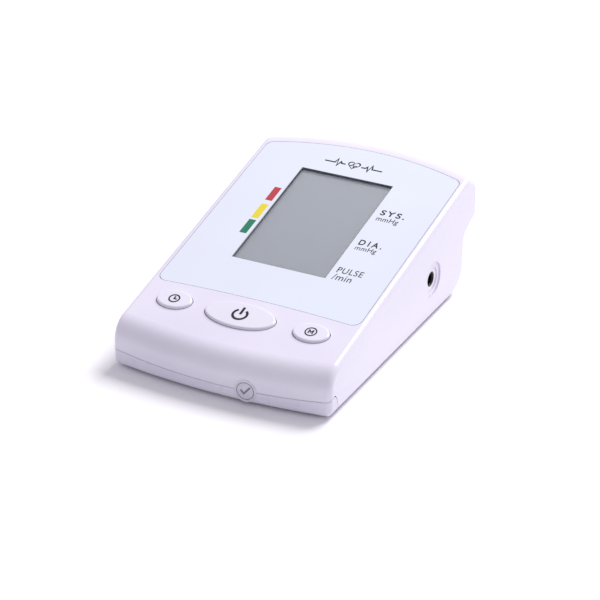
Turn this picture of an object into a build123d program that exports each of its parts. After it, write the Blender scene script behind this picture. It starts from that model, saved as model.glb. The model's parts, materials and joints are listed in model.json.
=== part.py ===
from build123d import *
from math import cos, radians, sin, tan
import os

os.makedirs("parts", exist_ok=True)

# Upper arm blood pressure monitor, table top type.
# X is across the unit, +Y runs from the buttons towards the rear, +Z is up.
# The origin is on the table, in the middle of the footprint. Millimetres.

# ---------------------------------------------------------------- driving dimensions
WIDTH = 95.0
LENGTH = 147.7
SLOPE = 12.7
FRONT_BOW = 4.2
REAR_BOW = 8.15
FACE_DATUM_Y = -66.3
FACE_DATUM_HEIGHT = 19.7
GROUND_GAP = 1.0
WALL = 2.0
SEAM_GAP = 0.25
SEAM_HEIGHT = 6.3
SEAM_RISE = 0.4
NOSE_RADIUS = 10.0
REAR_TOP_RADIUS = 8.0
EDGE_RADIUS = 2.5
LIP_OVERHANG = 10.8
LIP_ROOT_HEIGHT = 23.4
LIP_SLOPE = 27.0
HEEL_RADIUS = 11.5

# Front panel, in panel coordinates: u across, v up the slope, depth below the face.
PLATE_HALF_WIDTH = 44.4
PLATE_THICKNESS = 0.8
PLATE_REAR_V = 132.3
PLATE_REAR_BOW = 7.5
PLATE_FRONT_V = 28.4
PLATE_FRONT_BOW = 1.7
PLATE_CORNER = 3.8
PLATE_GAP = 0.25
WINDOW_U = -1.6
WINDOW_V = 81.3
WINDOW_WIDTH = 41.8
WINDOW_HEIGHT = 63.6

# Keys
KEY_V = 17.1
START_KEY_U = -1.6
START_KEY_SIZE = (30.4, 14.3)
SMALL_KEY_SIZE = (15.2, 10.4)
CLOCK_KEY_U = -30.8
MEMORY_KEY_U = 29.2
KEY_RISE = 1.0
KEY_GAP = 0.3

# Display and board
LENS_THICKNESS = 0.8
GLASS_DEPTH = 3.0
GLASS_THICKNESS = 2.0
BOARD_DEPTH = 8.2
BOARD_THICKNESS = 1.6
BOARD_HALF_WIDTH = 36.0
BOARD_FRONT_V = 4.0
BOARD_REAR_V = 58.0

# Power
CELL_DIAMETER = 14.2
CELL_BODY_LENGTH = 49.2
CELL_NUB_LENGTH = 1.2
CELL_PITCH = 15.0
CELL_COUNT = 4
BAY_FRONT_Y = -23.5
BAY_REAR_Y = 33.0
BAY_HALF_WIDTH = 30.6
BAY_WALL = 1.5
BAY_TOP_Z = 17.5
COVER_HALF_WIDTH = 31.6
COVER_THICKNESS = 1.6
COVER_GAP = 0.25
TONGUE = 1.2
RAIL_LIP = 0.65

# Side sockets: power on the right wall, air on the left wall
SOCKET_Y = 22.7
SOCKET_Z = 18.0
POWER_HOLE_RADIUS = 3.2
POWER_PIN_RADIUS = 1.05
AIR_BORE_RADIUS = 3.9
AIR_BORE_LENGTH = 11.0

# Pump, lying across the unit behind the battery bay
PUMP_Y = 46.3
PUMP_Z = 15.6
PUMP_RADIUS = 10.8
PUMP_LEFT_X = -29.0

# Exhaust valve, lying across the unit in front of the battery bay
VALVE_Y = -33.5
VALVE_Z = 9.0
VALVE_RADIUS = 5.5

# ---------------------------------------------------------------- derived
HALF_WIDTH = WIDTH / 2
FRONT_Y = -LENGTH / 2
REAR_Y = LENGTH / 2
SIDE_FRONT_Y = FRONT_Y + FRONT_BOW
SIDE_REAR_Y = REAR_Y - REAR_BOW
REAR_ARC_RADIUS = (HALF_WIDTH**2 + REAR_BOW**2) / (2 * REAR_BOW)
REAR_AXIS_Y = REAR_Y - REAR_ARC_RADIUS
HEEL_Y = REAR_Y - LIP_OVERHANG
LIP_EDGE_HEIGHT = LIP_ROOT_HEIGHT + LIP_OVERHANG * tan(radians(LIP_SLOPE))
TALL = 60.0

FACE = Plane(
    origin=(0, FACE_DATUM_Y, FACE_DATUM_HEIGHT),
    x_dir=(1, 0, 0),
    z_dir=(0, -sin(radians(SLOPE)), cos(radians(SLOPE))),
)
FLOOR_TOP_Z = GROUND_GAP + 1.8
COVER_TOP_Z = GROUND_GAP + COVER_THICKNESS
BAY_FLOOR_Z = COVER_TOP_Z + COVER_GAP
PUMP_SHELF_Z = BAY_FLOOR_Z + 1.15
CELL_Z = BAY_FLOOR_Z + 0.1 + CELL_DIAMETER / 2
BOARD_BOTTOM = BOARD_DEPTH + BOARD_THICKNESS
CASE_SCREWS = [(-40.4, -59.5), (40.4, -59.5), (-41.8, 38.5), (41.8, 38.5)]
BOARD_SCREWS = [(-32.5, 6.6), (32.5, 6.6), (-32.5, 54.5), (32.5, 54.5)]
HOLDER_SCREWS = [(-31.6, 110.0), (28.4, 110.0)]
FEET = [(-37.5, -50.0), (37.5, -50.0), (-39.5, 28.0), (39.5, 28.0)]


def face_at(depth):
    """The plane parallel to the sloping front panel, this far below it."""
    return FACE.offset(-depth)


def write(piece, name):
    """Label a finished piece and write it as its own STEP file."""
    piece.part.label = name
    export_step(piece.part, f"parts/{name}.step")


# ---------------------------------------------------------------- housing form
def plan_outline(inset=0.0):
    """Footprint seen from above: bowed front and rear, straight sides."""
    with BuildSketch() as outline:
        with BuildLine():
            ThreePointArc((-HALF_WIDTH, SIDE_FRONT_Y), (0, FRONT_Y), (HALF_WIDTH, SIDE_FRONT_Y))
            Line((HALF_WIDTH, SIDE_FRONT_Y), (HALF_WIDTH, SIDE_REAR_Y))
            ThreePointArc((HALF_WIDTH, SIDE_REAR_Y), (0, REAR_Y), (-HALF_WIDTH, SIDE_REAR_Y))
            Line((-HALF_WIDTH, SIDE_REAR_Y), (-HALF_WIDTH, SIDE_FRONT_Y))
        make_face()
        if inset:
            offset(amount=-inset, kind=Kind.INTERSECTION)
    return outline.sketch


def floor_outline(inset):
    """The flat part of the underside, which stops where the rear wall starts to curve up."""
    with BuildSketch() as outline:
        add(plan_outline(inset))
        with Locations((0, REAR_AXIS_Y)):
            Circle(REAR_ARC_RADIUS - LIP_OVERHANG - HEEL_RADIUS + WALL - inset, mode=Mode.INTERSECT)
    return outline.sketch


def body_block(inset=0.0):
    """The wedge-shaped body, drawn in by inset on every side, with its nose and rear top edge rounded."""
    ahead_y = FRONT_Y - 5
    behind_y = REAR_Y + 5
    top_drop = inset / cos(radians(SLOPE))

    def top_z(y):
        return FACE_DATUM_HEIGHT + (y - FACE_DATUM_Y) * tan(radians(SLOPE)) - top_drop

    with BuildPart() as block:
        with BuildSketch():
            add(plan_outline(inset))
        extrude(amount=TALL)
        with BuildSketch(Plane.YZ):
            with BuildLine():
                Polyline(
                    (ahead_y, GROUND_GAP + inset),
                    (ahead_y, top_z(ahead_y)),
                    (behind_y, top_z(behind_y)),
                    (behind_y, GROUND_GAP + inset),
                    close=True,
                )
            make_face()
        extrude(amount=WIDTH, both=True, mode=Mode.INTERSECT)
        with BuildSketch(Plane.YZ) as undercut:
            with BuildLine():
                Polyline(
                    (HEEL_Y - HEEL_RADIUS - 1, GROUND_GAP - 3),
                    (HEEL_Y - HEEL_RADIUS - 1, GROUND_GAP),
                    (HEEL_Y, GROUND_GAP),
                    (HEEL_Y, LIP_ROOT_HEIGHT),
                    (REAR_Y, LIP_EDGE_HEIGHT),
                    (REAR_Y, LIP_EDGE_HEIGHT + 4),
                    (REAR_Y + 8, LIP_EDGE_HEIGHT + 4),
                    (REAR_Y + 8, GROUND_GAP - 3),
                    close=True,
                )
            make_face()
            corners = undercut.vertices()
            fillet(corners.sort_by_distance((HEEL_Y, GROUND_GAP))[0], radius=HEEL_RADIUS)
            corners = undercut.vertices()
            fillet(corners.sort_by_distance((HEEL_Y, LIP_ROOT_HEIGHT))[0], radius=3.0)
            corners = undercut.vertices()
            fillet(corners.sort_by_distance((REAR_Y, LIP_EDGE_HEIGHT))[0], radius=2.6)
            if inset:
                offset(amount=inset)
        rear_axis = Axis((0, REAR_AXIS_Y, 0), (0, 0, 1))
        revolve(undercut.sketch, axis=rear_axis, revolution_arc=30, mode=Mode.SUBTRACT)
        revolve(undercut.sketch, axis=rear_axis, revolution_arc=-30, mode=Mode.SUBTRACT)
        top_face = block.faces().filter_by(FACE).sort_by(Axis.Z)[-1]
        fillet(top_face.edges().sort_by(Axis.Y)[-1], radius=REAR_TOP_RADIUS - inset)
        top_face = block.faces().filter_by(FACE).sort_by(Axis.Z)[-1]
        fillet(top_face.edges().sort_by(Axis.Y)[0], radius=NOSE_RADIUS - inset)
    return block.part


def chin_profile(gap):
    """Side view of the front chin: a seam that climbs slightly, then an S-bend down to the table edge."""
    bend_y = SIDE_FRONT_Y + 2.6 - gap

    def seam_z(y):
        return SEAM_HEIGHT + (y - FRONT_Y) * SEAM_RISE - gap

    with BuildSketch(Plane.YZ) as chin:
        with BuildLine():
            seam = Line((FRONT_Y - 5, seam_z(FRONT_Y - 5)), (bend_y, seam_z(bend_y)))
            drop = Spline(seam @ 1, (bend_y + 5.6, -1), tangents=((1, SEAM_RISE), (0.5, -1)))
            Polyline(drop @ 1, (FRONT_Y - 5, -1), seam @ 0)
        make_face()
    return chin.sketch


def plate_outline(gap=0.0):
    """Front panel outline, on the face: bowed ends, straight sides, rounded corners."""
    half = PLATE_HALF_WIDTH + gap
    rear_v = PLATE_REAR_V + gap
    front_v = PLATE_FRONT_V - gap
    side_rear_v = rear_v - PLATE_REAR_BOW
    side_front_v = front_v - PLATE_FRONT_BOW
    with BuildSketch() as outline:
        with BuildLine():
            ThreePointArc((-half, side_rear_v), (0, rear_v), (half, side_rear_v))
            Line((half, side_rear_v), (half, side_front_v))
            ThreePointArc((half, side_front_v), (0, front_v), (-half, side_front_v))
            Line((-half, side_front_v), (-half, side_rear_v))
        make_face()
        fillet(outline.vertices(), radius=PLATE_CORNER)
    return outline.sketch


def key_outlines(gap=0.0):
    """The three oval keys, grown by gap, on the face."""
    with BuildSketch() as ovals:
        with Locations((START_KEY_U, KEY_V)):
            Ellipse(START_KEY_SIZE[0] / 2 + gap, START_KEY_SIZE[1] / 2 + gap)
        with Locations((CLOCK_KEY_U, KEY_V), (MEMORY_KEY_U, KEY_V)):
            Ellipse(SMALL_KEY_SIZE[0] / 2 + gap, SMALL_KEY_SIZE[1] / 2 + gap)
    return ovals.sketch


def case_form():
    """The whole outer form of the closed case, with its corners and side edges softened."""
    with BuildPart() as form:
        add(body_block())
        sides = form.faces().filter_by(Axis.X).filter_by(lambda f: abs(f.center().X) > HALF_WIDTH - 0.1)
        upper_edges = sides.edges().filter_by(lambda e: e.bounding_box().max.Z > GROUND_GAP + 0.1)
        fillet(upper_edges, radius=EDGE_RADIUS)
    return form.part


CASE_FORM = case_form()
CASE_INSIDE = body_block(WALL)
WINDOW = (WINDOW_U, WINDOW_V)
AIR_AXIS = Plane(origin=(-HALF_WIDTH, SOCKET_Y, SOCKET_Z), x_dir=(0, 1, 0), z_dir=(-1, 0, 0))
POWER_AXIS = Plane(origin=(HALF_WIDTH, SOCKET_Y, SOCKET_Z), x_dir=(0, 1, 0), z_dir=(1, 0, 0))


# ---------------------------------------------------------------- upper case
COLLAR_DEPTH = 4.3
BOSS_RADIUS = 3.4
BOSS_END_Z = 8.0
SMALL_BOSS_RADIUS = 2.5
LENS_MARGIN = 2.9
LENS_WIDTH = WINDOW_WIDTH + 2 * LENS_MARGIN
LENS_HEIGHT = WINDOW_HEIGHT + 2 * LENS_MARGIN
OPENING_MARGIN = 1.2
DISH_STEPS = [(7.6, 0.55), (5.3, 0.95)]

with BuildPart() as case_bosses:
    with BuildSketch(Plane.XY.offset(BOSS_END_Z)):
        with Locations(*CASE_SCREWS):
            Circle(BOSS_RADIUS)
    extrude(amount=TALL)
    add(body_block(WALL / 2), mode=Mode.INTERSECT)

with BuildPart() as cover_bridge:
    with BuildSketch(Plane.XY):
        with Locations((0, HEEL_Y - HEEL_RADIUS + 1)):
            Rectangle(2 * COVER_HALF_WIDTH + 6, 9, align=(Align.CENTER, Align.MIN))
    extrude(amount=BAY_FLOOR_Z + 1.6)
    add(body_block(WALL / 2), mode=Mode.INTERSECT)

with BuildPart() as upper_case:
    add(CASE_FORM)
    add(CASE_INSIDE, mode=Mode.SUBTRACT)
    with BuildSketch():
        add(floor_outline(WALL))
    extrude(amount=GROUND_GAP + WALL + 0.5, mode=Mode.SUBTRACT)
    extrude(chin_profile(0.0), amount=WIDTH, both=True, mode=Mode.SUBTRACT)
    add(case_bosses.part)
    # collars that guide the keys, and bosses for the board and the display holder
    with BuildSketch(face_at(WALL / 2)):
        add(key_outlines(KEY_GAP + 1.3))
    extrude(amount=WALL / 2 - COLLAR_DEPTH)
    with BuildSketch(face_at(WALL / 2)):
        with Locations(*BOARD_SCREWS):
            Circle(SMALL_BOSS_RADIUS)
    extrude(amount=WALL / 2 - BOARD_DEPTH)
    with BuildSketch(face_at(WALL / 2)):
        with Locations(*HOLDER_SCREWS):
            Circle(SMALL_BOSS_RADIUS)
    extrude(amount=WALL / 2 - GLASS_DEPTH - GLASS_THICKNESS)
    # a pad behind the power dish, and a bridge over the end of the battery cover
    with BuildSketch(POWER_AXIS.offset(-WALL / 2)):
        Circle(8.6)
    extrude(amount=WALL / 2 - 3.2)
    add(cover_bridge.part)
    # openings in the front panel, from the face inwards
    with BuildSketch(face_at(-2)):
        add(plate_outline(PLATE_GAP))
    extrude(amount=-2 - PLATE_THICKNESS, mode=Mode.SUBTRACT)
    with BuildSketch(face_at(0)):
        with Locations(WINDOW):
            RectangleRounded(LENS_WIDTH + 0.2, LENS_HEIGHT + 0.2, 1.1)
    extrude(amount=-PLATE_THICKNESS - LENS_THICKNESS - 0.1, mode=Mode.SUBTRACT)
    with BuildSketch(face_at(0)):
        with Locations(WINDOW):
            Rectangle(WINDOW_WIDTH + 2 * OPENING_MARGIN, WINDOW_HEIGHT + 2 * OPENING_MARGIN)
    extrude(amount=-WALL - 1, mode=Mode.SUBTRACT)
    with BuildSketch(face_at(-2)):
        add(key_outlines(KEY_GAP))
    extrude(amount=-2 - COLLAR_DEPTH, mode=Mode.SUBTRACT)
    # screw holes, drilled up from the lower end of each boss
    with BuildSketch(Plane.XY.offset(BOSS_END_Z)):
        with Locations(*CASE_SCREWS):
            Circle(1.3)
    extrude(amount=8.5, mode=Mode.SUBTRACT)
    with BuildSketch(face_at(BOARD_DEPTH)):
        with Locations(*BOARD_SCREWS):
            Circle(1.0)
    extrude(amount=5.0, mode=Mode.SUBTRACT)
    with BuildSketch(face_at(GLASS_DEPTH + GLASS_THICKNESS)):
        with Locations(*HOLDER_SCREWS):
            Circle(1.0)
    extrude(amount=2.6, mode=Mode.SUBTRACT)
    # stepped dish and hole for the power plug, hole for the air socket, way out for the battery cover
    for dish_radius, dish_depth in DISH_STEPS:
        with BuildSketch(POWER_AXIS):
            Circle(dish_radius)
        extrude(amount=-dish_depth, mode=Mode.SUBTRACT)
    with BuildSketch(POWER_AXIS):
        Circle(POWER_HOLE_RADIUS)
    extrude(amount=-4, mode=Mode.SUBTRACT)
    with BuildSketch(AIR_AXIS):
        Circle(AIR_BORE_RADIUS + 1.4)
    extrude(amount=-4, mode=Mode.SUBTRACT)
    with BuildSketch(Plane.XY):
        with Locations((0, HEEL_Y)):
            Rectangle(2 * COVER_HALF_WIDTH + 0.6, 34)
    extrude(amount=BAY_FLOOR_Z, mode=Mode.SUBTRACT)
    with BuildSketch(Plane.XY.offset(GROUND_GAP + RAIL_LIP)):
        with Locations((0, HEEL_Y)):
            Rectangle(2 * (COVER_HALF_WIDTH + TONGUE + 0.3), 34)
    extrude(amount=BAY_FLOOR_Z - GROUND_GAP - RAIL_LIP, mode=Mode.SUBTRACT)
write(upper_case, "upper_case")


# ---------------------------------------------------------------- lower case
STANDOFF_TOP_Z = 7.8
CHIN_RADIUS = 2.4
RAIL_TOP_Z = 4.4
BAY_OUTER = BAY_HALF_WIDTH + BAY_WALL
BAY_CEILING = 1.1
COVER_FRONT_Y = BAY_FRONT_Y - 2.5

with BuildPart() as rounded_pan:
    with BuildSketch(Plane.XY.offset(GROUND_GAP)):
        add(plan_outline())
    extrude(amount=20)
    fillet(rounded_pan.edges().filter_by(Axis.Z), radius=EDGE_RADIUS)
    fillet(rounded_pan.faces().sort_by(Axis.Z)[0].edges(), radius=CHIN_RADIUS)

with BuildPart() as chin_form:
    extrude(chin_profile(SEAM_GAP), amount=WIDTH, both=True)
    add(CASE_FORM, mode=Mode.INTERSECT)
    add(rounded_pan.part, mode=Mode.INTERSECT)

with BuildPart() as seam_lip:
    with BuildSketch(Plane.XY.offset(FLOOR_TOP_Z - 0.5)):
        add(plan_outline(WALL + 0.25))
        add(plan_outline(WALL + 1.35), mode=Mode.SUBTRACT)
        with Locations((0, SIDE_FRONT_Y + 4)):
            Rectangle(WIDTH, 100, align=(Align.CENTER, Align.MAX), mode=Mode.INTERSECT)
    extrude(amount=9.2 - FLOOR_TOP_Z + 0.5)

with BuildPart() as lower_case:
    add(chin_form.part)
    add(CASE_INSIDE, mode=Mode.SUBTRACT)
    with BuildSketch(Plane.XY.offset(GROUND_GAP)):
        add(floor_outline(WALL + 0.3))
    extrude(amount=FLOOR_TOP_Z - GROUND_GAP)
    add(seam_lip.part)
    # rails beside the battery cover, the bay with its ceiling, and the shelf under the pump
    with BuildSketch(Plane.XY.offset(GROUND_GAP)):
        with Locations((0, COVER_FRONT_Y - 2)):
            rail_length = BAY_REAR_Y + BAY_WALL + 2 - COVER_FRONT_Y
            Rectangle(2 * BAY_OUTER + 8, rail_length, align=(Align.CENTER, Align.MIN))
    extrude(amount=RAIL_TOP_Z - GROUND_GAP)
    with BuildSketch(Plane.XY.offset(GROUND_GAP)):
        with Locations((0, BAY_REAR_Y)):
            Rectangle(2 * BAY_OUTER + 4, 40, align=(Align.CENTER, Align.MIN))
        add(floor_outline(WALL + 0.3), mode=Mode.INTERSECT)
    extrude(amount=PUMP_SHELF_Z - GROUND_GAP)
    with BuildSketch(Plane.XY.offset(COVER_TOP_Z)):
        with Locations((0, BAY_FRONT_Y - BAY_WALL)):
            bay_length = BAY_REAR_Y - BAY_FRONT_Y + 2 * BAY_WALL
            Rectangle(2 * BAY_OUTER, bay_length, align=(Align.CENTER, Align.MIN))
    extrude(amount=BAY_TOP_Z + BAY_CEILING - COVER_TOP_Z)
    with BuildSketch(Plane.XY):
        with Locations((0, BAY_FRONT_Y)):
            Rectangle(2 * BAY_HALF_WIDTH, BAY_REAR_Y - BAY_FRONT_Y, align=(Align.CENTER, Align.MIN))
    extrude(amount=BAY_TOP_Z, mode=Mode.SUBTRACT)
    # slot for the cover and, wider, the grooves for its tongues
    with BuildSketch(Plane.XY):
        with Locations((0, COVER_FRONT_Y - 0.3)):
            Rectangle(2 * COVER_HALF_WIDTH + 0.6, LENGTH, align=(Align.CENTER, Align.MIN))
    extrude(amount=BAY_FLOOR_Z, mode=Mode.SUBTRACT)
    with BuildSketch(Plane.XY.offset(GROUND_GAP + RAIL_LIP)):
        with Locations((0, COVER_FRONT_Y + 2.5)):
            Rectangle(2 * (COVER_HALF_WIDTH + TONGUE + 0.3), LENGTH, align=(Align.CENTER, Align.MIN))
    extrude(amount=BAY_FLOOR_Z - GROUND_GAP - RAIL_LIP, mode=Mode.SUBTRACT)
    # screw pillars with sunk heads
    with BuildSketch(Plane.XY.offset(GROUND_GAP)):
        with Locations(*CASE_SCREWS):
            Circle(BOSS_RADIUS)
    extrude(amount=STANDOFF_TOP_Z - GROUND_GAP)
    with Locations(*[(x, y, GROUND_GAP) for x, y in CASE_SCREWS]):
        with Locations(Rotation(180, 0, 0)):
            CounterBoreHole(radius=1.7, counter_bore_radius=2.7, counter_bore_depth=2.2, depth=10)
    # saddle for the exhaust valve, post for the air manifold, foot recesses, sound and air slots
    with Locations((-19, VALVE_Y, FLOOR_TOP_Z)):
        Box(14, 7, 2.6, align=(Align.CENTER, Align.CENTER, Align.MIN))
    with BuildSketch(Plane.YZ.offset(-30)):
        with Locations((VALVE_Y, VALVE_Z)):
            Circle(VALVE_RADIUS)
    extrude(amount=22, mode=Mode.SUBTRACT)
    with Locations((-39.1, -9.0, FLOOR_TOP_Z)):
        Box(5, 5, 9.4 - FLOOR_TOP_Z, align=(Align.CENTER, Align.CENTER, Align.MIN))
    with BuildSketch(Plane.XY.offset(GROUND_GAP)):
        with Locations(*FEET):
            Circle(4.6)
    extrude(amount=0.6, mode=Mode.SUBTRACT)
    with BuildSketch(Plane.XY):
        with Locations((23, -44)):
            with GridLocations(3.2, 1, 6, 1):
                SlotOverall(9, 1.3, rotation=90)
    extrude(amount=FLOOR_TOP_Z + 0.5, mode=Mode.SUBTRACT)
write(lower_case, "lower_case")


# ---------------------------------------------------------------- battery cover
with BuildPart() as battery_cover:
    with BuildSketch(Plane.XY.offset(GROUND_GAP)):
        with Locations((0, COVER_FRONT_Y)):
            Rectangle(2 * COVER_HALF_WIDTH, LENGTH, align=(Align.CENTER, Align.MIN))
    extrude(amount=COVER_THICKNESS)
    add(CASE_FORM, mode=Mode.INTERSECT)
    with BuildSketch(Plane.XY.offset(COVER_TOP_Z - 0.85)):
        with Locations((0, COVER_FRONT_Y + 3)):
            Rectangle(2 * (COVER_HALF_WIDTH + TONGUE), 66, align=(Align.CENTER, Align.MIN))
    extrude(amount=0.85)
    # thumb ridges pressed into the underside
    with BuildSketch(Plane.XY):
        with Locations((0, 38)):
            with GridLocations(1, 2.2, 1, 5):
                SlotOverall(22, 0.9)
    extrude(amount=GROUND_GAP + 0.4, mode=Mode.SUBTRACT)
write(battery_cover, "battery_cover")


# ---------------------------------------------------------------- front panel
with BuildPart() as faceplate:
    with BuildSketch(face_at(PLATE_THICKNESS)):
        add(plate_outline())
        with Locations(WINDOW):
            RectangleRounded(WINDOW_WIDTH, WINDOW_HEIGHT, 0.7, mode=Mode.SUBTRACT)
    extrude(amount=PLATE_THICKNESS)
write(faceplate, "faceplate")

with BuildPart() as display_lens:
    with BuildSketch(face_at(PLATE_THICKNESS)):
        with Locations(WINDOW):
            RectangleRounded(LENS_WIDTH, LENS_HEIGHT, 1.0)
    extrude(amount=-LENS_THICKNESS)
write(display_lens, "display_lens")

with BuildPart() as display_bezel:
    with BuildSketch(face_at(PLATE_THICKNESS + LENS_THICKNESS + 0.05)):
        with Locations(WINDOW):
            Rectangle(WINDOW_WIDTH + 2 * OPENING_MARGIN - 0.2, WINDOW_HEIGHT + 2 * OPENING_MARGIN - 0.2)
            Rectangle(WINDOW_WIDTH + 0.3, WINDOW_HEIGHT + 0.3, mode=Mode.SUBTRACT)
    extrude(amount=PLATE_THICKNESS + LENS_THICKNESS + 0.05 - GLASS_DEPTH)
write(display_bezel, "display_bezel")


# ---------------------------------------------------------------- display
GLASS_WIDTH = WINDOW_WIDTH + 5.0
GLASS_HEIGHT = WINDOW_HEIGHT + 6.8
ZEBRA_V = 48.6

with BuildPart() as lcd_glass:
    with BuildSketch(face_at(GLASS_DEPTH)):
        with Locations(WINDOW):
            Rectangle(GLASS_WIDTH, GLASS_HEIGHT)
    extrude(amount=-GLASS_THICKNESS)
write(lcd_glass, "lcd_glass")

with BuildPart() as lcd_holder:
    with BuildSketch(face_at(2.4)):
        with Locations(WINDOW):
            RectangleRounded(GLASS_WIDTH + 3, GLASS_HEIGHT + 3, 1.5)
            Rectangle(GLASS_WIDTH + 0.3, GLASS_HEIGHT + 0.3, mode=Mode.SUBTRACT)
    extrude(amount=2.4 - GLASS_DEPTH - GLASS_THICKNESS)
    with BuildSketch(face_at(GLASS_DEPTH + GLASS_THICKNESS)):
        with Locations(WINDOW):
            RectangleRounded(GLASS_WIDTH + 3, GLASS_HEIGHT + 3, 1.5)
        for ear_u, ear_v in HOLDER_SCREWS:
            with Locations((ear_u, ear_v)):
                Circle(3.0)
            with Locations((ear_u * 0.9, ear_v)):
                Rectangle(abs(ear_u) * 0.2, 5)
        with Locations((WINDOW_U, WINDOW_V + 4)):
            Rectangle(30, 44, mode=Mode.SUBTRACT)
        with Locations((WINDOW_U, ZEBRA_V)):
            Rectangle(WINDOW_WIDTH, 2.8, mode=Mode.SUBTRACT)
        with Locations(*HOLDER_SCREWS):
            Circle(1.15, mode=Mode.SUBTRACT)
    extrude(amount=-1.6)
write(lcd_holder, "lcd_holder")

with BuildPart() as zebra_strip:
    with BuildSketch(face_at(GLASS_DEPTH + GLASS_THICKNESS)):
        with Locations((WINDOW_U, ZEBRA_V)):
            Rectangle(WINDOW_WIDTH - 1.5, 2.0)
    extrude(amount=GLASS_DEPTH + GLASS_THICKNESS - BOARD_DEPTH)
write(zebra_strip, "zebra_strip")


# ---------------------------------------------------------------- keys
KEY_FLANGE_TOP = COLLAR_DEPTH + 0.3
KEY_BOTTOM = KEY_FLANGE_TOP + 0.8
SWITCH_TOP = BOARD_DEPTH - 2.0
keys = {
    "start_stop": (START_KEY_U, START_KEY_SIZE),
    "clock": (CLOCK_KEY_U, SMALL_KEY_SIZE),
    "memory": (MEMORY_KEY_U, SMALL_KEY_SIZE),
}

for key_name, (key_u, key_size) in keys.items():
    with BuildPart() as key_cap:
        with BuildSketch(face_at(KEY_FLANGE_TOP)):
            with Locations((key_u, KEY_V)):
                Ellipse(key_size[0] / 2, key_size[1] / 2)
        extrude(amount=KEY_FLANGE_TOP + KEY_RISE)
        fillet(key_cap.edges().sort_by(Axis(FACE.origin, FACE.z_dir))[-1], radius=0.8)
        with BuildSketch(face_at(KEY_FLANGE_TOP)):
            with Locations((key_u, KEY_V)):
                Ellipse(key_size[0] / 2 + 1.2, key_size[1] / 2 + 1.2)
        extrude(amount=KEY_FLANGE_TOP - KEY_BOTTOM)
    write(key_cap, f"{key_name}_key")

    with BuildPart() as key_plunger:
        with BuildSketch(face_at(KEY_BOTTOM)):
            with Locations((key_u, KEY_V)):
                Circle(1.7)
        extrude(amount=-1.8)
    write(key_plunger, f"{key_name}_switch_plunger")

with BuildPart() as key_switches:
    with BuildSketch(face_at(SWITCH_TOP)):
        with Locations(*[(key_u, KEY_V) for key_u, key_size in keys.values()]):
            RectangleRounded(6.0, 6.0, 0.5)
    extrude(amount=SWITCH_TOP - BOARD_DEPTH)
    with BuildSketch(face_at(SWITCH_TOP)):
        with Locations(*[(key_u, KEY_V) for key_u, key_size in keys.values()]):
            Circle(1.9)
    extrude(amount=-1.6, mode=Mode.SUBTRACT)
write(key_switches, "key_switches")


# ---------------------------------------------------------------- circuit board
with BuildPart() as main_board:
    with BuildSketch(face_at(BOARD_DEPTH)):
        with Locations((0, (BOARD_FRONT_V + BOARD_REAR_V) / 2)):
            RectangleRounded(2 * BOARD_HALF_WIDTH, BOARD_REAR_V - BOARD_FRONT_V, 1.5)
        with Locations(*BOARD_SCREWS):
            Circle(1.2, mode=Mode.SUBTRACT)
    extrude(amount=-BOARD_THICKNESS)
write(main_board, "main_board")


def under_board(name, spots, size, height, corner=0.3):
    """Rectangular components soldered to the underside of the board."""
    with BuildPart() as component:
        with BuildSketch(face_at(BOARD_BOTTOM)):
            with Locations(*spots):
                RectangleRounded(size[0], size[1], corner)
        extrude(amount=-height)
    write(component, name)


under_board("microcontroller", [(-13, 30)], (12, 12), 1.5)
under_board("memory_chip", [(4, 34)], (5, 4), 1.4)
under_board("voltage_regulator", [(27, 33)], (6.5, 3.6), 1.7)
under_board("board_passives", [(x, 22.5) for x in (-22, -18, -14, -10, 5, 8.5)], (2.0, 1.2), 0.7, 0.2)
under_board("clock_crystal", [(-24, 31)], (3.2, 7.5), 1.8)

with BuildPart() as board_capacitors:
    with BuildSketch(face_at(BOARD_BOTTOM)):
        with Locations((14, 31), (14, 22)):
            Circle(3.1)
    extrude(amount=-5.8)
write(board_capacitors, "board_capacitors")

with BuildPart() as buzzer:
    with BuildSketch(face_at(BOARD_BOTTOM)):
        with Locations((25, 15)):
            Circle(6.0)
    extrude(amount=-4.5)
    with BuildSketch(face_at(BOARD_BOTTOM + 4.5)):
        with Locations((25, 15)):
            Circle(1.2)
    extrude(amount=3.0, mode=Mode.SUBTRACT)
write(buzzer, "buzzer")


# ---------------------------------------------------------------- air system
BARB_RADIUS = 1.25
BARB_LENGTH = 3.0
PASSAGE_RADIUS = 0.7
TUBE_RADIUS = 2.2
INNER_LANE_X = -36.4
OUTER_LANE_X = -41.8
MANIFOLD_Z = 12.0
MANIFOLD_FRONT_Y = -14.0
MANIFOLD_REAR_Y = -4.0
LANES_MIDDLE_X = (INNER_LANE_X + OUTER_LANE_X) / 2
MANIFOLD_MIDDLE_Y = (MANIFOLD_FRONT_Y + MANIFOLD_REAR_Y) / 2
SOCKET_BARB_X = -35.2
SOCKET_BARB_Y = SOCKET_Y - 4.4
NOZZLE_Z = PUMP_Z + 2.0
SENSOR_UV = (0.0, 14.0)
SENSOR_DEPTH = BOARD_BOTTOM + 2.6
sensor_port = face_at(SENSOR_DEPTH).from_local_coords((SENSOR_UV[0] - 4.5, SENSOR_UV[1], 0))

with BuildPart() as pressure_sensor:
    with BuildSketch(face_at(BOARD_BOTTOM)):
        with Locations(SENSOR_UV):
            RectangleRounded(9.0, 9.0, 0.5)
    extrude(amount=-5.2)
    with BuildSketch(Plane(origin=sensor_port, x_dir=(0, 1, 0), z_dir=(-1, 0, 0))):
        Circle(BARB_RADIUS)
    extrude(amount=BARB_LENGTH)
write(pressure_sensor, "pressure_sensor")

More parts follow.
